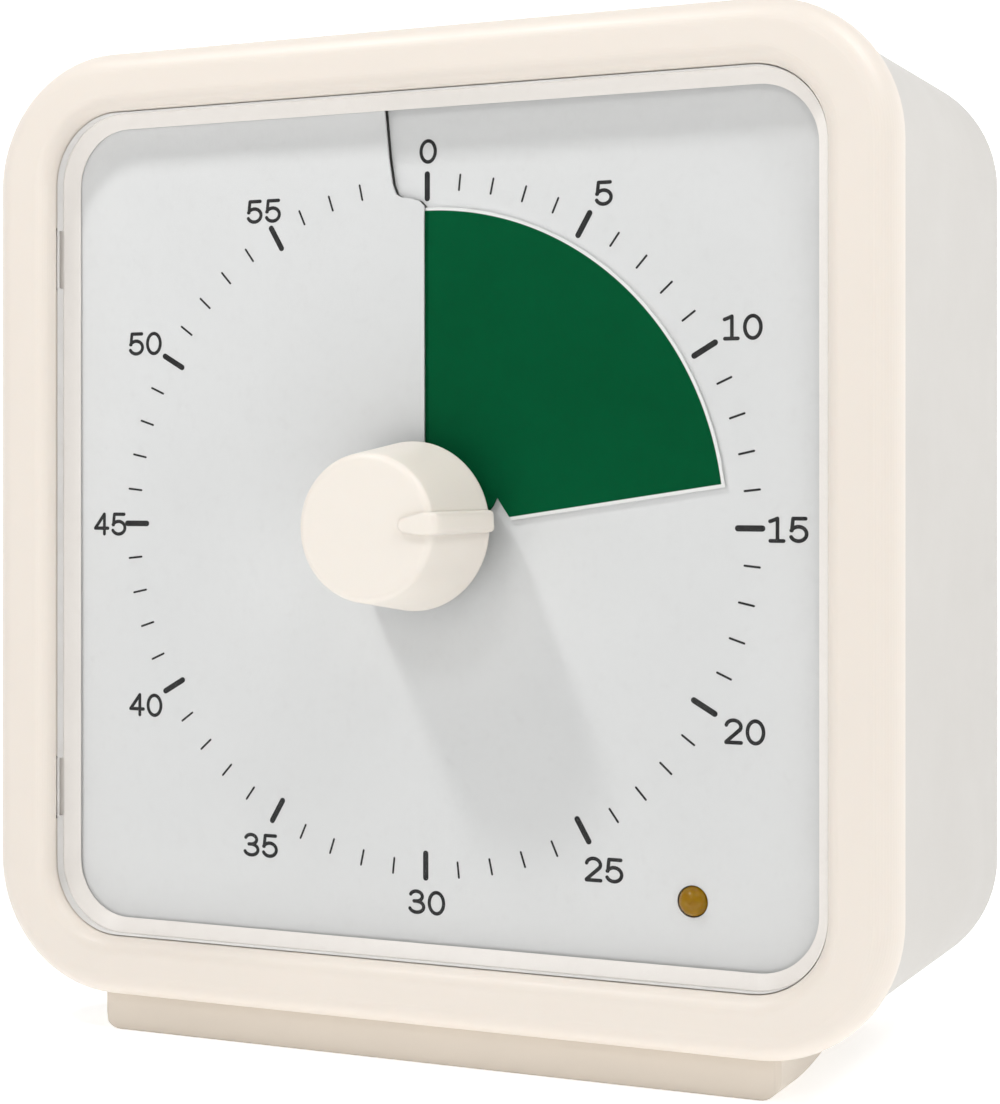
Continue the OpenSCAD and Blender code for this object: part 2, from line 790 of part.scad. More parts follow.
// Soft-iron stator with the rotor's hole and the coil's core
module stator() {
    r = rotor_at;
    core_x0 = coil_x - core_w / 2;
    core_x1 = coil_x + core_w / 2;
    color([0.5, 0.5, 0.53]) face() translate([0, 0, coil_z - core_t / 2]) linear_extrude(core_t)
        difference() {
            union() {
                translate([r.x - 4.7, r.y - 4.8]) square([9.4, 9.6]);
                translate([r.x, coil_y1 + 1]) square([core_x1 - r.x, core_w]);
                translate([core_x0, coil_y0 - 3.4]) square([core_w, coil_y1 - coil_y0 + 6.8]);
                translate([13.9, coil_y0 - 3.4]) square([core_x1 - 13.9, core_w]);
                translate([13.9, coil_y0 - 3.4]) square([core_w, 17]);
                translate([r.x, r.y - 4.8]) square([13.9 + core_w - r.x, core_w]);
            }
            translate(r) circle(magnet_r + 0.5);
        }
}

// Bobbin: square tube with two flanges on the stator's core
module coil_bobbin() {
    inner = core_w / 2 + 0.1;
    flange = 3.9;
    color([0.2, 0.2, 0.22]) face() difference() {
        union() {
            box([coil_x - 2, coil_y0, coil_z - 1.3], [coil_x + 2, coil_y1, coil_z + 1.3]);
            for (y = [coil_y0, coil_y1 - 0.8])
                box([coil_x - flange, y, coil_z - flange], [coil_x + flange, y + 0.8, coil_z + flange]);
        }
        box(
            [coil_x - inner, coil_y0 - 1, coil_z - core_t / 2 - 0.1],
            [coil_x + inner, coil_y1 + 1, coil_z + core_t / 2 + 0.1]
        );
    }
}

// Copper winding, as one round body
module coil_winding() {
    color([0.75, 0.4, 0.2]) face() difference() {
        translate([coil_x, coil_y0 + 0.85, coil_z]) rotate([-90, 0, 0])
            cylinder(h = coil_y1 - coil_y0 - 1.7, r = 3.5);
        box([coil_x - 2.05, coil_y0, coil_z - 1.35], [coil_x + 2.05, coil_y1, coil_z + 1.35]);
    }
}

// ---- Electronics -----------------------------------------------------------

// Circuit board behind the chassis
module circuit_board() {
    color([0.1, 0.4, 0.2]) face() difference() {
        box([board_x0, board_y0, board_front - board_t], [board_x1, board_y1, board_front - 0.02]);
        for (p = board_screw_at)
            post(p.x, p.y, board_screw_r + 0.2, -8, 0);
        for (s = [-0.635, 0.635])
            post(lamp_x + s, lamp_y, 0.3, -8, 0);
        for (x = [board_x0 + 3:2:board_x0 + 9])
            post(x, board_y0 + 2, 0.5, -8, 0);
    }
}

// Alarm lamp with its flange and two leads
module alarm_lamp() {
    low = board_front + 0.02;
    color([0.6, 0.42, 0.05]) face() {
        post(lamp_x, lamp_y, lamp_r, low, lamp_top - lamp_r);
        translate([lamp_x, lamp_y, lamp_top - lamp_r]) sphere(lamp_r - 0.001);
        post(lamp_x, lamp_y, lamp_r + 0.25, low, low + 0.8);
        for (s = [-0.635, 0.635])
            post(lamp_x + s, lamp_y, 0.25, board_front - board_t - 1, low + 0.1);
    }
}

// Control chip with eight leads
module control_chip() {
    back = board_front - board_t - 0.02;
    color([0.12, 0.12, 0.13]) face() {
        box([2, -40, back - 1.5], [8, -35, back - 0.15]);
        for (i = [0:3], s = [0, 1])
            box([2.8 + 1.27 * i, -41 + 5.9 * s, back - 0.7], [3.2 + 1.27 * i, -39.9 + 5.9 * s, back]);
    }
}

// Quartz crystal can, lying on the board
module quartz_crystal() {
    color([0.8, 0.8, 0.82]) face()
        translate([12, -38, board_front - board_t - 1.05]) rotate([0, 90, 0]) {
            cylinder(h = 6, r = 1);
            translate([0, 0, -0.5]) cylinder(h = 0.6, r = 0.8);
        }
}

// Piezo buzzer behind the grille
module buzzer() {
    z0 = rear_in + 0.05;
    color([0.1, 0.1, 0.11]) face() difference() {
        union() {
            post(buzzer_x, buzzer_y, buzzer_r, z0, z0 + 4.4);
            for (s = [-1, 1])
                post(buzzer_x + 5 * s, buzzer_y, 0.4, z0 + 4, z0 + 7);
        }
        post(buzzer_x, buzzer_y, 1.6, z0 - 1, z0 + 1.2);
    }
}

// Slide switch body behind the rear wall
module switch_body() {
    z0 = rear_in + 0.05;
    color([0.7, 0.7, 0.72]) face() difference() {
        union() {
            box([switch_x - 7, switch_y - 4, z0], [switch_x + 7, switch_y + 4, z0 + 5]);
            for (i = [-1:1])
                box(
                    [switch_x + 3 * i - 0.4, switch_y - 0.4, z0 + 4.9],
                    [switch_x + 3 * i + 0.4, switch_y + 0.4, z0 + 7.5]
                );
        }
        box(
            [switch_x - slider_w / 2 - switch_travel - 0.4, switch_y - slider_h / 2 - 0.3, z0 - 1],
            [switch_x + slider_w / 2 + switch_travel + 0.4, switch_y + slider_h / 2 + 0.3, z0 + 2.5]
        );
    }
}

// Volume slider with three grip grooves
module switch_slider() {
    z0 = 0.5 - case_back;
    color([0.25, 0.25, 0.27]) face() difference() {
        box(
            [switch_x - slider_w / 2, switch_y - slider_h / 2, z0],
            [switch_x + slider_w / 2, switch_y + slider_h / 2, rear_in + 2.2]
        );
        for (i = [-1:1])
            box(
                [switch_x + 1.2 * i - 0.25, switch_y - 3, z0 - 1],
                [switch_x + 1.2 * i + 0.25, switch_y + 3, z0 + 0.4]
            );
    }
}

// ---- Battery ---------------------------------------------------------------

// AA cell, lying across the bay
module battery() {
    start = bay_hx - 2.25 - cell_l;
    color([0.3, 0.32, 0.36]) face() translate([start, cell_y, cell_z]) rotate([0, 90, 0])
        rotate_extrude() polygon([
            [0, 0.3], [4.5, 0.3], [4.5, 0], [6.6, 0], [cell_r, 0.5], [cell_r, cell_l - 0.6],
            [6.6, cell_l], [2.7, cell_l], [2.7, cell_l + 1], [0, cell_l + 1]
        ]);
}

// Conical coil spring at the cell's flat end
module battery_spring() {
    x0 = 0.5 - bay_hx;
    x1 = bay_hx - 2.25 - cell_l - 0.1;
    turns = 4;
    steps = 14;
    wire = 0.4;
    path = [for (i = [0:turns * steps])
        let (f = i / (turns * steps), a = 360 * i / steps, r = 5.6 - 2.4 * f)
        [x0 + wire + (x1 - x0 - 2 * wire) * f, cell_y + r * cos(a), cell_z + r * sin(a)]];
    color(steel) face() {
        tube(path, wire, 6);
        box([0.05 - bay_hx, cell_y - 7, cell_z - 7], [x0 + 0.1, cell_y + 7, cell_z + 7]);
    }
}

// Sprung plate at the cell's raised end
module battery_contact() {
    color(steel) face() {
        box([bay_hx - 0.5, cell_y - 7, cell_z - 7], [bay_hx - 0.05, cell_y + 7, cell_z + 7]);
        translate([bay_hx - 1.15, cell_y, cell_z]) rotate([0, 90, 0])
            cylinder(h = 0.8, r1 = 2.4, r2 = 3);
    }
}

// Flush door with a locating rim and a grooved thumb grip
module battery_door() {
    hx = bay_hx + door_margin - door_gap;
    hy = bay_hy + door_margin - door_gap;
    color(cream_rear) face() translate([0, cell_y, -case_back]) difference() {
        union() {
            linear_extrude(door_t) square([2 * hx, 2 * hy], center = true);
            linear_extrude(door_t + 1.3) square(2 * [bay_hx - 0.25, bay_hy - 0.25], center = true);
        }
        translate([0, 0, door_t]) linear_extrude(2)
            square(2 * [bay_hx - 1.45, bay_hy - 1.45], center = true);
        for (i = [0:4])
            translate([0, hy - 2.5 - 1.1 * i, 0]) cube([12, 0.5, 0.8], center = true);
    }
}

// Two bare leads from the bay's contacts to the board
module battery_leads() {
    color([0.7, 0.1, 0.1]) face() for (s = [-1, 1]) {
        run = [
            [s * 24, -29, bay_front + 2], [s * 24, -30, -17], [s * 21, -34, -12],
            [s * 4 - 9, -41, -9], [s * 1 - 8, -41, -7], [s * 1 - 8, -41, -5.65]
        ];
        tube(run, 0.6, 8);
    }
}

// ---- Fasteners -------------------------------------------------------------

// Four long-reach screws that clamp the rear case to the chassis
module case_screws() {
    color(steel) face() for (x = [-well_at, well_at], y = [-well_at, well_at])
        screw(x, y, well_end - well_floor - 0.02, case_screw_r, 6.8, 2.7, 2);
}

// Four screws through the movement into the chassis
module movement_screws() {
    color(steel) face() for (x = move_screw_x, y = move_screw_y)
        screw(x, y, move_back - 0.02, move_screw_r, 14.8, 2, 1.4);
}

// Two screws that hold the circuit board
module board_screws() {
    color(steel) face() for (p = board_screw_at)
        screw(p.x, p.y, board_front - board_t - 0.02, board_screw_r, 3.4, 1.7, 1.1);
}

// Two screws that hold the foot, their heads sunk in it
module foot_screws() {
    color(steel) face() for (x = [-foot_screw_x, foot_screw_x])
        translate([x, 2.18 - axis_h, foot_screw_z]) rotate([-90, 0, 0])
            screw(0, 0, 0, foot_screw_r, 7.6, 2.7, 1.8);
}

front_bezel();
rear_case();
foot();
lens();
dial_surround();
dial_card();
dial_spacer();
chassis();
knob();
spindle();
disc_hub();
timer_disc();
movement_front_case();
movement_back_case();
centre_wheel();
clutch_spring();
clutch_clip();
third_wheel();
second_wheel();
rotor();
stator();
coil_bobbin();
coil_winding();
circuit_board();
alarm_lamp();
control_chip();
quartz_crystal();
buzzer();
switch_body();
switch_slider();
battery();
battery_spring();
battery_contact();
battery_door();
case_screws();
movement_screws();
board_screws();
foot_screws();
battery_leads();
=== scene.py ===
import json
import math
import bpy
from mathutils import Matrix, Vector

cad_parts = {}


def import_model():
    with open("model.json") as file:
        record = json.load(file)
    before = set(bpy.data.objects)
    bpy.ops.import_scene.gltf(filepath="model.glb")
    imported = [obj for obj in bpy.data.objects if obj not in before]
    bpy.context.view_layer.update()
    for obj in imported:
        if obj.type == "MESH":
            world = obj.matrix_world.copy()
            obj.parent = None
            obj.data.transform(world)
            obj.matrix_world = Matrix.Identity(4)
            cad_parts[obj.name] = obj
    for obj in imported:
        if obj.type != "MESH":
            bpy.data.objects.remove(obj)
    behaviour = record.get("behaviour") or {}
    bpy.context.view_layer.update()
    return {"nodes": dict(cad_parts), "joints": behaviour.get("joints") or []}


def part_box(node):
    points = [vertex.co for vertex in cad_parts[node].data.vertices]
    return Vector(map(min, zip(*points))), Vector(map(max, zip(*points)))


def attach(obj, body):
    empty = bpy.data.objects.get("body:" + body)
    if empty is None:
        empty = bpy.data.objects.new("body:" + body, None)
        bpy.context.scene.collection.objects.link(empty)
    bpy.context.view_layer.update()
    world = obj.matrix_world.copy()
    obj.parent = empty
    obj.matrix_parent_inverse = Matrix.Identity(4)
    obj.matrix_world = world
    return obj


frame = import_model()
NODES = frame["nodes"]
AXIS = Vector(next(j for j in frame["joints"] if j["name"] == "timer_turn")["pos_m"])
MM = 0.001
METRE = 1000

# Sizes shared with the CAD model, in millimetres and degrees
PITCH = 0.7
CARD_T = 0.22
DISC_R = 32.2
EDGE_ANGLE = 81.6
EDGE_OFFSET = 0.78
CUT_BACK = 353.95

# Print on the disc, in millimetres: unprinted margin, softness of the print's edge, and how
# far past the sheet's own edge the margin still counts
MARGIN = 0.3
PRINT_SOFT = 0.06
EDGE_SLACK = 0.02

# Plastic and the window
GRAIN_SCALE = 2200
PLASTIC_SPECULAR = 0.45
WINDOW_IOR = 1.07

# Scale and numbers on the card, in millimetres
DIGIT_H = 2.50
DIGIT_W = 1.98
STROKE = 0.37
SPACING = 2.2
CAPS = 8
INK_LIFT = 0.012
INK_STEP = 0.002
TICK_IN, TICK_OUT, TICK_W = 32.85, 35.9, 0.6
MINOR_IN, MINOR_OUT, MINOR_W = 33.9, 35.65, 0.22
NUMBER_R = 38.6
QUARTER_R = 38.0
NUDGE = {5: (0.0, -0.72), 20: (0.4, -0.1), 45: (0.2, -0.1), 55: (0.6, -0.78)}
USUAL_NUDGE = (0.1, -0.1)

# Studio, in metres. A light is its direction in face coordinates, distance, size and power.
WORLD = 0.34
WALL_GLOW = 0.59
FLOOR_GLOW = 0.42
FLOOR_HALF = 3.0
WALL_R = 1.6
WALL_H = 1.5
WALL_STEPS = 24
LIGHTS = {
    "light_above": ((-0.10, 0.60, 1.0), 0.7, 0.11, 0.38),
    "light_side": ((-0.39, 0.90, 0.50), 0.36, 0.045, 0.45),
    "light_right": ((0.65, 1.0, 0.36), 0.5, 0.20, 1.05),
}

# Camera: place from the knob's axis in metres, turn in degrees, and framing
CAMERA_AT = (0.1076, -0.2173, 0.00438)
CAMERA_TURN = 24.58
CAMERA_LENS = 78.1
CAMERA_SHIFT_Y = -0.063


def world(x, y, z):
    """Face coordinates in millimetres to the shared frame in metres."""
    return AXIS + Vector((x, -z, y)) * MM


def printed(name, verts, faces):
    """A mesh object made from face-coordinate points."""
    mesh = bpy.data.meshes.new(name)
    mesh.from_pydata([world(*v) for v in verts], [], faces)
    mesh.validate()
    obj = bpy.data.objects.new(name, mesh)
    bpy.context.scene.collection.objects.link(obj)
    return obj


# ---- Shader building --------------------------------------------------------

class Tree:
    """Short calls for making a material's nodes and links."""

    def __init__(self, name):
        self.mat = bpy.data.materials.new(name)
        self.mat.use_nodes = True
        self.nodes = self.mat.node_tree.nodes
        self.links = self.mat.node_tree.links
        self.bsdf = self.nodes["Principled BSDF"]
        self.out = self.nodes["Material Output"]
        self.coord = self.nodes.new("ShaderNodeTexCoord").outputs["Object"]

    def put(self, socket, value):
        if isinstance(value, bpy.types.NodeSocket):
            self.links.new(value, socket)
        elif value is not None:
            socket.default_value = value

    def math(self, op, a, b=None):
        n = self.nodes.new("ShaderNodeMath")
        n.operation = op
        for socket, value in zip(n.inputs, (a, b)):
            self.put(socket, value)
        return n.outputs[0]

    def noise(self, scale, detail=3.0, rough=0.5):
        n = self.nodes.new("ShaderNodeTexNoise")
        self.put(n.inputs["Vector"], self.coord)
        n.inputs["Scale"].default_value = scale
        n.inputs["Detail"].default_value = detail
        n.inputs["Roughness"].default_value = rough
        return n.outputs["Fac"]

    def spots(self, scale):
        n = self.nodes.new("ShaderNodeTexVoronoi")
        self.put(n.inputs["Vector"], self.coord)
        n.inputs["Scale"].default_value = scale
        return n.outputs["Distance"]

    def wave(self, scale, axis, distortion=0.0):
        n = self.nodes.new("ShaderNodeTexWave")
        n.bands_direction = axis
        self.put(n.inputs["Vector"], self.coord)
        n.inputs["Scale"].default_value = scale
        n.inputs["Distortion"].default_value = distortion
        n.inputs["Detail"].default_value = 1.0
        return n.outputs["Fac"]

    def span(self, value, a, b, c, d):
        """The value's place between a and b, carried over to between c and d."""
        n = self.nodes.new("ShaderNodeMapRange")
        for socket, v in zip(n.inputs, (value, a, b, c, d)):
            self.put(socket, v)
        return n.outputs[0]

    def mix(self, factor, a, b):
        n = self.nodes.new("ShaderNodeMix")
        n.data_type = "RGBA"
        self.put(n.inputs["Factor"], factor)
        self.put(n.inputs[6], a if isinstance(a, bpy.types.NodeSocket) else (*a, 1))
        self.put(n.inputs[7], b if isinstance(b, bpy.types.NodeSocket) else (*b, 1))
        return n.outputs[2]

    def bump(self, height, strength, distance, normal=None):
        n = self.nodes.new("ShaderNodeBump")
        n.inputs["Strength"].default_value = strength
        n.inputs["Distance"].default_value = distance
        self.put(n.inputs["Height"], height)
        self.put(n.inputs["Normal"], normal)
        return n.outputs[0]

    def bevel(self, radius):
        n = self.nodes.new("ShaderNodeBevel")
        n.samples = 4
        n.inputs["Radius"].default_value = radius
        return n.outputs[0]

    def split(self):
        n = self.nodes.new("ShaderNodeSeparateXYZ")
        self.put(n.inputs[0], self.coord)
        return n.outputs

    def set(self, **values):
        for key, value in values.items():
            self.put(self.bsdf.inputs[key.replace("_", " ")], value)


def shade(colour, factor):
    return tuple(min(1.0, max(0.0, c * factor)) for c in colour)


def plastic(name, colour, rough=0.4, grain=0.05, spread=0.04, soft=None, subsurface=0.0):
    """Moulded plastic: spark-eroded grain, faint flow marks and handling wear."""
    t = Tree(name)
    flow = t.noise(26, 4, 0.55)
    smudge = t.noise(95, 5, 0.6)
    dark = shade(colour, 1 - spread)
    light = shade(colour, 1 + spread * 0.5)
    t.set(Base_Color=t.mix(t.span(flow, 0.3, 0.7, 0, 1), dark, light))
    t.set(Roughness=t.span(smudge, 0.25, 0.75, rough - 0.05, rough + 0.07))
    coarse = t.math("MULTIPLY", t.noise(GRAIN_SCALE * 0.3, 2), 0.5)
    fine = t.math("ADD", t.noise(GRAIN_SCALE, 2, 0.6), coarse)
    base = t.bevel(soft) if soft else None
    t.set(Normal=t.bump(fine, grain, 0.00006, base))
    t.bsdf.inputs["Specular IOR Level"].default_value = PLASTIC_SPECULAR
    if subsurface:
        t.bsdf.inputs["Subsurface Weight"].default_value = subsurface
        t.bsdf.inputs["Subsurface Scale"].default_value = 0.0008
        t.bsdf.inputs["Subsurface Radius"].default_value = (1.0, 0.6, 0.4)
    return t.mat


def metal(name, colour, rough=0.28, scratch=0.12):
    """Metal with fine drawing marks, stains and scattered pits."""
    t = Tree(name)
    stain = t.noise(160, 4, 0.6)
    lines = t.wave(2600, "X", 3.0)
    pits = t.span(t.spots(900), 0.0, 0.12, 0.0, 1.0)
    t.set(Base_Color=t.mix(t.span(stain, 0.35, 0.7, 0, 1), colour, shade(colour, 0.82)))
    t.set(Roughness=t.span(stain, 0.3, 0.7, rough - 0.08, rough + 0.12))
    height = t.math("ADD", t.math("MULTIPLY", lines, 0.5), t.math("MULTIPLY", pits, 0.5))
    t.set(Normal=t.bump(height, scratch, 0.00004))
    t.bsdf.inputs["Metallic"].default_value = 1.0
    return t.mat


def lens_material():
    """Clear moulded window: gloss by Fresnel over a clear body, with fine dust."""
    t = Tree("lens_clear")
    t.nodes.remove(t.bsdf)
    fresnel = t.nodes.new("ShaderNodeFresnel")
    fresnel.inputs["IOR"].default_value = WINDOW_IOR
    clear = t.nodes.new("ShaderNodeBsdfTransparent")
    gloss = t.nodes.new("ShaderNodeBsdfGlossy")
    dust = t.noise(700, 5, 0.7)
    t.put(clear.inputs["Color"], t.mix(t.span(dust, 0.55, 0.8, 0, 1), (0.985, 0.987, 0.985),
                                       (0.965, 0.963, 0.96)))
    t.put(gloss.inputs["Roughness"], t.span(t.noise(120, 3), 0.3, 0.7, 0.03, 0.09))
    ripple = t.bump(t.noise(45, 1), 0.05, 0.0004)
    t.put(gloss.inputs["Normal"], ripple)
    t.put(fresnel.inputs["Normal"], ripple)
    mixer = t.nodes.new("ShaderNodeMixShader")
    for socket, value in zip(mixer.inputs, (fresnel.outputs[0], clear.outputs[0], gloss.outputs[0])):
        t.put(socket, value)
    t.put(t.out.inputs["Surface"], mixer.outputs[0])
    return t.mat


def frosted_material():
    """Cut edge of the window, which scatters the light inside it."""
    t = Tree("lens_edge")
    haze = t.span(t.noise(420, 3), 0.3, 0.7, 0, 1)
    t.set(Base_Color=t.mix(haze, (0.93, 0.905, 0.88), (0.97, 0.955, 0.94)))
    t.set(Roughness=t.span(haze, 0, 1, 0.35, 0.5), Normal=t.bump(haze, 0.05, 0.00005))
    t.bsdf.inputs["Specular IOR Level"].default_value = 0.3
    return t.mat


def card_material():
    """Matt printed card: fibres and faint mottling."""
    t = Tree("dial_card_print")
    fibre = t.noise(1500, 4, 0.7)
    mottle = t.noise(40, 3)
    paper = t.mix(t.span(mottle, 0.3, 0.7, 0, 1), (0.745, 0.746, 0.748), (0.77, 0.771, 0.773))
    t.set(Base_Color=t.mix(t.span(fibre, 0.5, 0.8, 0, 0.35), paper, (0.71, 0.712, 0.715)))
    t.set(Roughness=t.span(fibre, 0.3, 0.7, 0.55, 0.7), Normal=t.bump(fibre, 0.06, 0.00005))
    t.bsdf.inputs["Specular IOR Level"].default_value = 0.25
    return t.mat


def disc_material():
    """Green print on a white sheet, with a white margin at the rim and the leading edge.

    The disc is one whole turn, so the sheet past the leading edge is its far end, and green.
    """
    t = Tree("disc_print")
    x, _, z = t.split()
    u = t.math("SUBTRACT", x, AXIS.x)
    v = t.math("SUBTRACT", z, AXIS.z)
    radius = t.math("SQRT", t.math("ADD", t.math("MULTIPLY", u, u), t.math("MULTIPLY", v, v)))
    a = math.radians(EDGE_ANGLE)
    along = t.math("ADD", t.math("MULTIPLY", u, math.sin(a)), t.math("MULTIPLY", v, math.cos(a)))
    across = t.math("ADD", t.math("MULTIPLY", u, -math.cos(a)), t.math("MULTIPLY", v, math.sin(a)))
    rim = t.span(radius, (DISC_R - MARGIN - PRINT_SOFT) * MM, (DISC_R - MARGIN) * MM, 1, 0)
    inner = MARGIN - EDGE_OFFSET
    clear = t.span(across, inner * MM, (inner + PRINT_SOFT) * MM, 0, 1)
    behind = t.math("LESS_THAN", across, -(EDGE_OFFSET + EDGE_SLACK) * MM)
    away = t.math("MAXIMUM", behind, t.math("LESS_THAN", along, 0))
    ink = t.math("MULTIPLY", rim, t.math("MAXIMUM", clear, away))
    fibre = t.noise(1300, 4, 0.7)
    tone = t.span(t.noise(55, 4), 0.3, 0.7, 0, 1)
    green = t.mix(tone, (0.000, 0.086, 0.028), (0.000, 0.098, 0.034))
    t.set(Base_Color=t.mix(ink, (0.86, 0.86, 0.85), green))
    t.set(Roughness=t.span(fibre, 0.3, 0.7, 0.5, 0.66), Normal=t.bump(fibre, 0.05, 0.00004))
    t.bsdf.inputs["Specular IOR Level"].default_value = 0.04
    return t.mat


def ink_material():
    """Screen-printed black with a slightly broken edge tone."""
    t = Tree("dial_ink")
    tone = t.span(t.noise(900, 4, 0.7), 0.35, 0.7, 0, 1)
    t.set(Base_Color=t.mix(tone, (0.022, 0.022, 0.023), (0.040, 0.039, 0.039)))
    t.set(Roughness=t.span(t.noise(400), 0.3, 0.7, 0.5, 0.65))
    t.set(Normal=t.bump(t.noise(2500), 0.05, 0.00003))
    t.bsdf.inputs["Specular IOR Level"].default_value = 0.2
    return t.mat


def lamp_material():
    """Tinted epoxy lamp with a diffusing core."""
    t = Tree("lamp_amber")
    swirl = t.span(t.noise(600, 3), 0.3, 0.7, 0, 1)
    t.set(Base_Color=t.mix(swirl, (0.30, 0.150, 0.000), (0.36, 0.185, 0.001)))
    t.set(Roughness=t.span(t.noise(300), 0.3, 0.7, 0.16, 0.26), Normal=t.bump(swirl, 0.03, 0.00005))
    t.bsdf.inputs["Specular IOR Level"].default_value = 0.2
    t.bsdf.inputs["Coat Weight"].default_value = 0.15
    t.bsdf.inputs["Coat Roughness"].default_value = 0.08
    t.bsdf.inputs["Subsurface Weight"].default_value = 0.25
    t.bsdf.inputs["Subsurface Scale"].default_value = 0.001
    return t.mat


def board_material():
    """Solder mask over tracks, with a woven glass look."""
    t = Tree("board_mask")
    weave = t.math("MULTIPLY", t.wave(900, "X"), t.wave(900, "Z"))
    tracks = t.span(t.wave(170, "X", 6.0), 0.62, 0.7, 0, 1)
    green = t.mix(t.span(weave, 0, 1, 0, 0.4), (0.02, 0.16, 0.07), (0.04, 0.24, 0.11))
    t.set(Base_Color=t.mix(tracks, green, (0.06, 0.30, 0.14)))
    t.set(Roughness=t.span(weave, 0, 1, 0.22, 0.34), Normal=t.bump(tracks, 0.12, 0.00006))
    return t.mat


def battery_material():
    """Shrink wrap with a coloured band near the positive end."""
    t = Tree("battery_wrap")
    lo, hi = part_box("battery")
    x, _, _ = t.split()
    place = t.span(x, lo[0], hi[0], 0, 1)
    band = t.math("GREATER_THAN", place, 0.72)
    tip = t.math("GREATER_THAN", place, 0.965)
    wrap = t.mix(band, (0.035, 0.04, 0.05), (0.42, 0.22, 0.09))
    grime = t.span(t.noise(220, 4), 0.35, 0.7, 0, 0.25)
    worn = t.mix(grime, wrap, (0.2, 0.2, 0.2))
    t.set(Base_Color=t.mix(tip, worn, (0.6, 0.6, 0.6)), Metallic=tip)
    t.set(Roughness=t.span(t.noise(300), 0.3, 0.7, 0.25, 0.4))
    t.set(Normal=t.bump(t.noise(140, 2), 0.08, 0.0001))
    return t.mat


def winding_material():
    """Enamelled wire laid in turns round the bobbin, with painted shade: the copper is darker in the
    grooves between turns.
    """
    t = Tree("winding_copper")
    turns = t.wave(1100, "Z", 0.6)
    # The wave bands give the turns their relief and also darken the copper between turns as painted
    # shade.
    t.set(Base_Color=t.mix(turns, (0.30, 0.11, 0.03), (0.74, 0.36, 0.16)))
    t.set(Roughness=t.span(t.noise(500), 0.3, 0.7, 0.22, 0.38), Normal=t.bump(turns, 0.6, 0.00008))
    t.bsdf.inputs["Metallic"].default_value = 0.85
    return t.mat


# ---- CAD nodes --------------------------------------------------------------

CREAM = (0.755, 0.69, 0.62)
PLASTICS = {
    "front_bezel": dict(colour=CREAM, rough=0.42, grain=0.03, spread=0.012, subsurface=0.08),
    "knob": dict(colour=(0.80, 0.745, 0.675), rough=0.40, grain=0.03, spread=0.012,
                 soft=0.00035, subsurface=0.08),
    # rear_case and battery_door: the front's cream plastic painted darker and greyer, as painted
    # shade on the case's sides and back.
    "rear_case": dict(colour=(0.57, 0.55, 0.52), rough=0.5, grain=0.16, spread=0.02),
    "battery_door": dict(colour=(0.56, 0.54, 0.51), rough=0.5, grain=0.16, spread=0.02,
                         soft=0.0003),
    "foot": dict(colour=(0.725, 0.65, 0.56), rough=0.55, grain=0.1, spread=0.03, soft=0.0003),
    "dial_surround": dict(colour=(0.98, 0.925, 0.88), rough=0.4, grain=0.03, spread=0.012),
    "dial_spacer": dict(colour=(0.62, 0.62, 0.61), rough=0.55),
    "chassis": dict(colour=(0.55, 0.55, 0.53), rough=0.5, grain=0.1),
    "disc_hub": dict(colour=(0.84, 0.83, 0.80), rough=0.42),
    "movement_front_case": dict(colour=(0.74, 0.74, 0.71), rough=0.45),
    "movement_back_case": dict(colour=(0.72, 0.72, 0.69), rough=0.45),
    "third_wheel": dict(colour=(0.83, 0.82, 0.77), rough=0.35, subsurface=0.1),
    "second_wheel": dict(colour=(0.81, 0.80, 0.76), rough=0.35, subsurface=0.1),
    "coil_bobbin": dict(colour=(0.04, 0.04, 0.045), rough=0.45),
    "control_chip": dict(colour=(0.022, 0.022, 0.024), rough=0.5, grain=0.15, spread=0.2),
    "buzzer": dict(colour=(0.02, 0.02, 0.022), rough=0.42, grain=0.1, spread=0.2),
    "switch_slider": dict(colour=(0.03, 0.03, 0.032), rough=0.45, spread=0.1, soft=0.0002),
    "battery_leads": dict(colour=(0.48, 0.03, 0.03), rough=0.35, spread=0.12),
}
METALS = {
    "spindle": dict(colour=(0.56, 0.56, 0.58)),
    "centre_wheel": dict(colour=(0.78, 0.58, 0.24), rough=0.3),
    "clutch_spring": dict(colour=(0.55, 0.56, 0.58), rough=0.25),
    "clutch_clip": dict(colour=(0.5, 0.5, 0.52)),
    "rotor": dict(colour=(0.17, 0.17, 0.19), rough=0.45, scratch=0.2),
    "stator": dict(colour=(0.42, 0.42, 0.45), rough=0.4),
    "quartz_crystal": dict(colour=(0.78, 0.78, 0.8), rough=0.2),
    "switch_body": dict(colour=(0.7, 0.7, 0.72), rough=0.3),
    "battery_spring": dict(colour=(0.75, 0.75, 0.78), rough=0.2),
    "battery_contact": dict(colour=(0.75, 0.75, 0.78), rough=0.2),
    "case_screws": dict(colour=(0.5, 0.5, 0.53), rough=0.35),
    "movement_screws": dict(colour=(0.5, 0.5, 0.53), rough=0.35),
    "board_screws": dict(colour=(0.5, 0.5, 0.53), rough=0.35),
    "foot_screws": dict(colour=(0.5, 0.5, 0.53), rough=0.35),
}
SPECIAL = {
    "lens": lens_material, "dial_card": card_material, "timer_disc": disc_material,
    "alarm_lamp": lamp_material, "circuit_board": board_material,
    "battery": battery_material, "coil_winding": winding_material,
}


def frost_edge(lens):
    """Gives the window's side faces, which face neither front nor back, the frosted look."""
    lens.data.materials.append(frosted_material())
    for face in lens.data.polygons:
        if abs(face.normal.y) < 0.5:
            face.material_index = 1


def finish_nodes():
    """Gives every CAD node its own surface, some plastics softened at the edges in the shader, and
    frosts the window's edge.
    """
    for name, obj in NODES.items():
        if name in PLASTICS:
            mat = plastic(name + "_surface", **PLASTICS[name])
        elif name in METALS:
            mat = metal(name + "_surface", **METALS[name])
        else:
            mat = SPECIAL[name]()
        obj.data.materials.clear()
        obj.data.materials.append(mat)
    frost_edge(NODES["lens"])


# ---- Dial print -------------------------------------------------------------

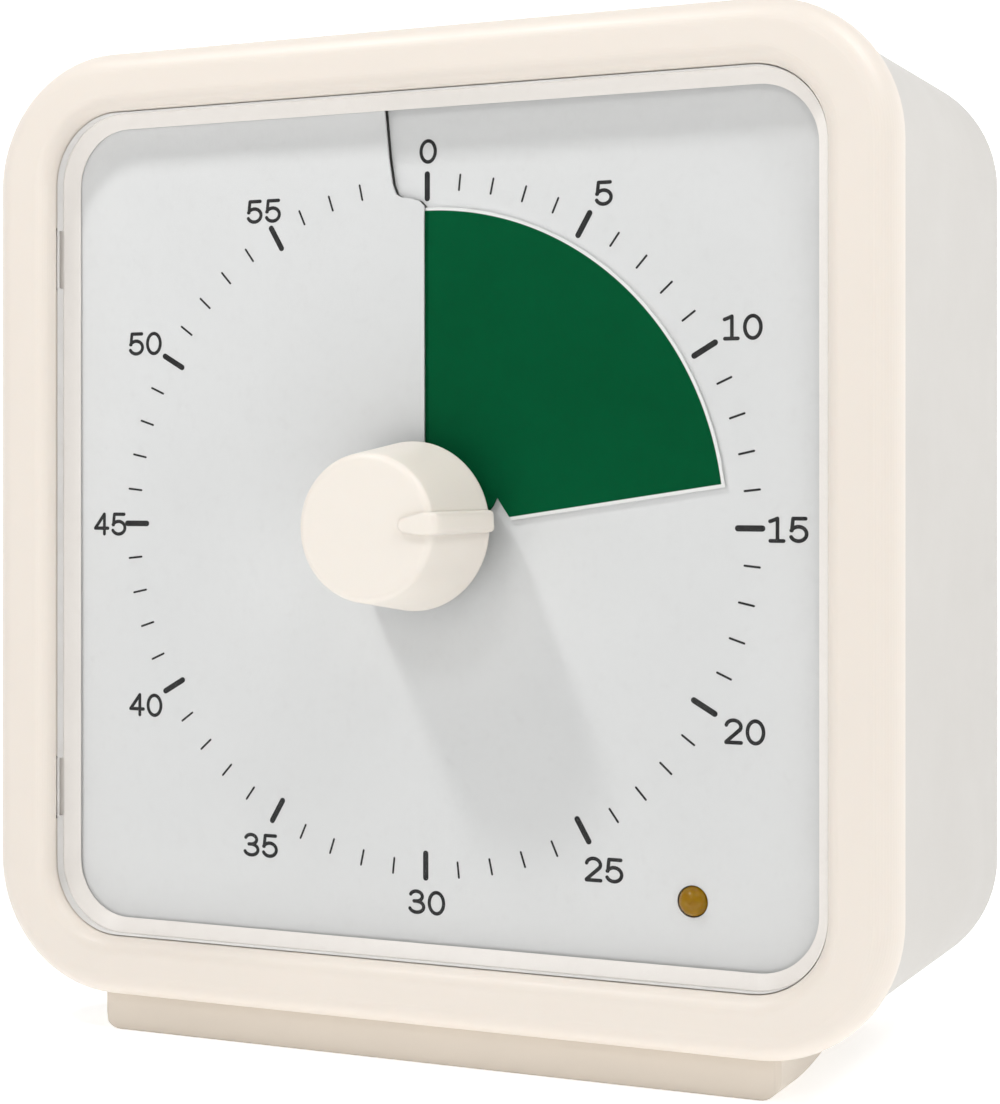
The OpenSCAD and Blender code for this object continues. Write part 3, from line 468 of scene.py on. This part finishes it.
def on_card(x, y, lift):
    """A point just above the card's surface, which rises once round the dial."""
    turn = math.degrees(math.atan2(x, y)) % 360
    if turn > CUT_BACK:
        turn -= 360
    return (x, y, -PITCH / 2 + PITCH * turn / 360 + CARD_T / 2 + lift)


def ribbon(line, width):
    """Outline points, left and right, of a stroke with round ends."""
    pts = [Vector(p) for p in line]
    half = width / 2
    left, right = [], []
    for i, p in enumerate(pts):
        a = pts[max(i - 1, 0)]
        b = pts[min(i + 1, len(pts) - 1)]
        d = (b - a).normalized()
        n = Vector((-d.y, d.x))
        if 0 < i < len(pts) - 1:
            e = (p - a).normalized()
            n = n / max(0.5, n.dot(Vector((-e.y, e.x))))
        left.append(p + n * half)
        right.append(p - n * half)
    head, tail = [], []
    for k in range(1, CAPS):
        a = math.pi * k / CAPS
        d = (pts[0] - pts[1]).normalized()
        n = Vector((-d.y, d.x))
        head.append(pts[0] + (n * math.cos(a) + d * math.sin(a)) * half)
        d = (pts[-1] - pts[-2]).normalized()
        n = Vector((-d.y, d.x))
        tail.append(pts[-1] + (n * math.cos(a) + d * math.sin(a)) * half)
    return left, right, head, tail


def add_stroke(verts, faces, line, width, lift):
    """Adds one printed stroke to a list of points and faces."""
    left, right, head, tail = ribbon(line, width)
    base = len(verts)
    n = len(left)
    verts += [on_card(p.x, p.y, lift) for p in left + right + head + tail]
    faces += [(base + i, base + n + i, base + n + i + 1, base + i + 1) for i in range(n - 1)]
    h = base + 2 * n
    k = len(head)
    faces.append([base] + [h + k - 1 - i for i in range(k)] + [base + n])
    faces.append([base + 2 * n - 1] + [h + k + k - 1 - i for i in range(k)] + [base + n - 1])


def bow(cx, cy, rx, ry, a0, a1, n=18):
    """Points of an elliptic arc, angles in degrees."""
    return [(cx + rx * math.cos(math.radians(a0 + (a1 - a0) * i / n)),
             cy + ry * math.sin(math.radians(a0 + (a1 - a0) * i / n))) for i in range(n + 1)]


GLYPHS = {
    "0": [bow(0.5, 0.5, 0.5, 0.5, 90, 450, 40)],
    "1": [[(0.10, 0.87), (0.34, 0.93), (0.56, 1.0)], [(0.56, 1.0), (0.56, 0.5), (0.56, 0.0)],
          [(0.12, 0.0), (0.5, 0.0), (0.94, 0.0)]],
    "2": [bow(0.5, 0.72, 0.46, 0.28, 168, -28, 20) + [(0.46, 0.30), (0.04, 0.03)],
          [(0.04, 0.0), (0.5, 0.0), (0.98, 0.0)]],
    "3": [bow(0.46, 0.765, 0.42, 0.235, 160, -90, 18), [(0.30, 0.53), (0.4, 0.53), (0.5, 0.53)],
          bow(0.48, 0.265, 0.50, 0.265, 90, -160, 20)],
    "4": [[(0.72, 1.0), (0.72, 0.5), (0.72, 0.0)], [(0.72, 1.0), (0.36, 0.64), (0.0, 0.29)],
          [(0.0, 0.29), (0.5, 0.29), (1.0, 0.29)]],
    "5": [[(0.92, 1.0), (0.5, 1.0), (0.15, 1.0)], [(0.15, 1.0), (0.11, 0.74), (0.08, 0.47)],
          bow(0.48, 0.32, 0.50, 0.32, 152, -155, 22)],
}


def numeral(verts, faces, minute):
    """Draws one upright number centred on its place round the dial."""
    a = math.radians(6 * minute)
    r = QUARTER_R if minute % 15 == 0 else NUMBER_R
    dx, dy = NUDGE.get(minute, USUAL_NUDGE)
    cx, cy = r * math.sin(a) + dx, r * math.cos(a) + dy
    text = str(minute)
    w = DIGIT_W - STROKE
    h = DIGIT_H - STROKE
    for k, digit in enumerate(text):
        x0 = cx + (k - (len(text) - 1) / 2) * SPACING - w / 2
        y0 = cy - h / 2
        for s, stroke in enumerate(GLYPHS[digit]):
            line = [(x0 + w * px, y0 + h * py) for px, py in stroke]
            add_stroke(verts, faces, line, STROKE, INK_LIFT + INK_STEP * s)


def tick(verts, faces, minute):
    """Draws one radial mark."""
    a = math.radians(6 * minute)
    major = minute % 5 == 0
    r0, r1, w = (TICK_IN, TICK_OUT, TICK_W) if major else (MINOR_IN, MINOR_OUT, MINOR_W)
    ends = (r0 + w / 2, (r0 + r1) / 2, r1 - w / 2)
    add_stroke(verts, faces, [(r * math.sin(a), r * math.cos(a)) for r in ends], w, INK_LIFT)


def dial_print():
    """Sixty-minute scale and numbers printed on the card. The cut takes the last mark's place."""
    ink = ink_material()
    for name, job, minutes in (
        ("dial_ticks", tick, range(59)),
        ("dial_numbers", numeral, range(0, 60, 5)),
    ):
        verts, faces = [], []
        for m in minutes:
            job(verts, faces, m)
        obj = printed(name, verts, faces)
        obj.data.materials.append(ink)
        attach(obj, "case_group")


# ---- Studio -----------------------------------------------------------------

def area(name, direction, distance, size, power):
    """Soft light that faces the dial from a direction in face coordinates."""
    light = bpy.data.lights.new(name, "AREA")
    light.shape = "DISK"
    light.size = size
    light.energy = power
    obj = bpy.data.objects.new(name, light)
    d = Vector(direction).normalized() * distance * METRE
    obj.location = world(*d)
    obj.rotation_euler = (AXIS - obj.location).to_track_quat("-Z", "Y").to_euler()
    bpy.context.scene.collection.objects.link(obj)


def stage_object(name, verts, faces, mat):
    """A part of the studio, not of the object."""
    mesh = bpy.data.meshes.new(name)
    mesh.from_pydata(verts, [], faces)
    obj = bpy.data.objects.new(name, mesh)
    obj.data.materials.append(mat)
    bpy.context.scene.collection.objects.link(obj)


def backdrop():
    """White wall in a half circle behind the object."""
    n = WALL_STEPS
    turns = [math.pi * i / n for i in range(n + 1)]
    ring = [(-WALL_R * math.cos(a), WALL_R * math.sin(a)) for a in turns]
    verts = [(x, y, 0) for x, y in ring] + [(x, y, WALL_H) for x, y in ring]
    faces = [(i, i + 1, n + 2 + i, n + 1 + i) for i in range(n)]
    stage_object("studio_wall", verts, faces, pale("studio_wall", WALL_GLOW))


def pale(name, glow):
    """Plain pale studio surface that glows a little."""
    t = Tree(name)
    t.set(Base_Color=t.mix(t.noise(6, 2), (0.90, 0.90, 0.90), (0.93, 0.93, 0.93)))
    t.set(Roughness=t.span(t.noise(30), 0.3, 0.7, 0.75, 0.9))
    t.bsdf.inputs["Specular IOR Level"].default_value = 0.1
    t.bsdf.inputs["Emission Color"].default_value = (1, 1, 1, 1)
    t.bsdf.inputs["Emission Strength"].default_value = glow
    return t.mat


def studio():
    """Pale floor and wall, even surroundings and three soft lights."""
    half = FLOOR_HALF
    stage_object("studio_floor", [(-half, -half, 0), (half, -half, 0), (half, half, 0),
                                  (-half, half, 0)], [(0, 1, 2, 3)], pale("floor", FLOOR_GLOW))
    backdrop()
    surround = bpy.data.worlds.new("studio")
    bpy.context.scene.world = surround
    surround.use_nodes = True
    back = surround.node_tree.nodes["Background"]
    back.inputs["Color"].default_value = (1, 1, 1, 1)
    back.inputs["Strength"].default_value = WORLD
    for name, values in LIGHTS.items():
        area(name, *values)


def camera():
    """View from the front and right, level with the dial."""
    data = bpy.data.cameras.new("camera")
    data.lens = CAMERA_LENS
    data.shift_y = CAMERA_SHIFT_Y
    obj = bpy.data.objects.new("camera", data)
    obj.location = AXIS + Vector(CAMERA_AT)
    obj.rotation_euler = (math.radians(90), 0, math.radians(CAMERA_TURN))
    bpy.context.scene.collection.objects.link(obj)
    bpy.context.scene.camera = obj
    bpy.context.scene.view_settings.view_transform = "Standard"


camera()
finish_nodes()
dial_print()
studio()
